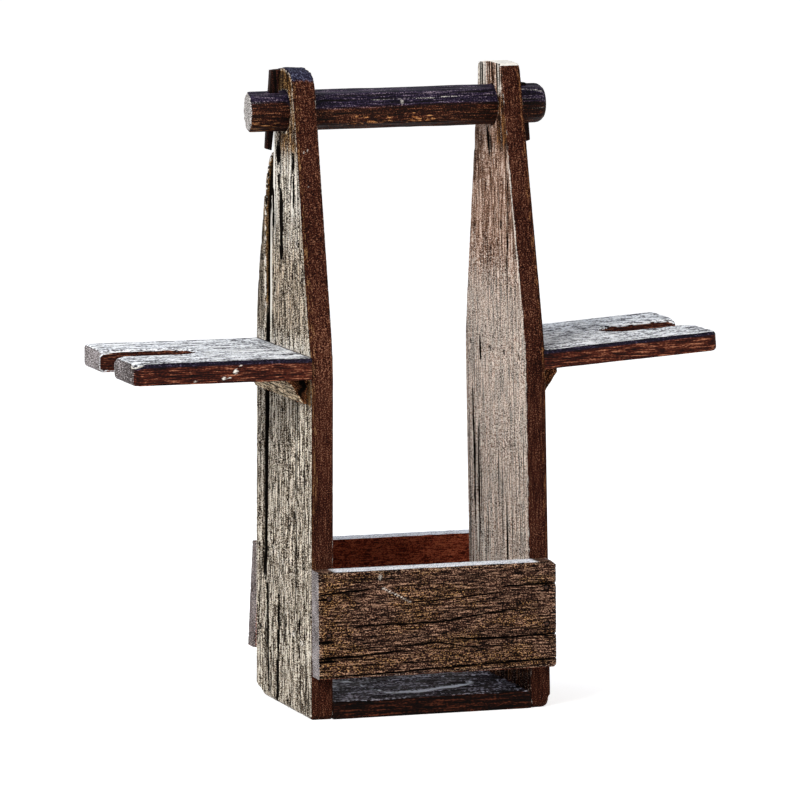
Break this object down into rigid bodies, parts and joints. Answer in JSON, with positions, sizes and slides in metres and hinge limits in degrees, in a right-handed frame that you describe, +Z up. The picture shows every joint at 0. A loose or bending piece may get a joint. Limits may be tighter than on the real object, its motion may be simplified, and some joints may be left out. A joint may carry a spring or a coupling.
{
  "type": "wine bottle and glass holder",
  "caption": "Rustic wooden table carrier: tapered side panels round a bottle bay, a pegged round handle, and a slotted shelf on each side that hangs a stemmed glass by its foot.",
  "frame": {"origin": "on the ground under the bottle bay, midway between the side panels and between their front and rear edges", "axes": "+X to the right as seen from the front, -Y towards the front, +Z up"},
  "size_m": [0.3746, 0.1528, 0.396],
  "materials": {
    "weathered_panel_wood": "silver-grey weathered faces with furrows, dark stained cut edges",
    "weathered_board_wood": "dark brown weathered face with open horizontal grain",
    "weathered_shelf_wood": "pale grey worn top, dark stained cut edges",
    "stained_wood": "dark reddish brown stain under satin wax",
    "nail_steel": "dark, dull, lightly rusted"
  },
  "bodies": {
    "frame": {"left_panel": "weathered_panel_wood", "right_panel": "weathered_panel_wood", "front_board": "weathered_board_wood", "rear_board": "weathered_board_wood", "bottom_board": "stained_wood", "handle": "stained_wood", "left_shelf": "weathered_shelf_wood", "right_shelf": "weathered_shelf_wood", "left_cleat": "stained_wood", "right_cleat": "stained_wood", "front_board_nails": "nail_steel", "rear_board_nails": "nail_steel", "left_shelf_nails": "nail_steel", "right_shelf_nails": "nail_steel", "left_bottom_nails": "nail_steel", "right_bottom_nails": "nail_steel", "left_cleat_nails": "nail_steel", "right_cleat_nails": "nail_steel"},
    "left_peg": {"left_peg": "stained_wood"},
    "right_peg": {"right_peg": "stained_wood"}
  },
  "joints": [
    {"name": "left_peg_lift", "type": "slide", "parent": "frame", "child": "left_peg", "axis": [0.0958, 0, 0.9954], "range_m": [0, 0.035]},
    {"name": "right_peg_lift", "type": "slide", "parent": "frame", "child": "right_peg", "axis": [-0.0958, 0, 0.9954], "range_m": [0, 0.035]}
  ]
}
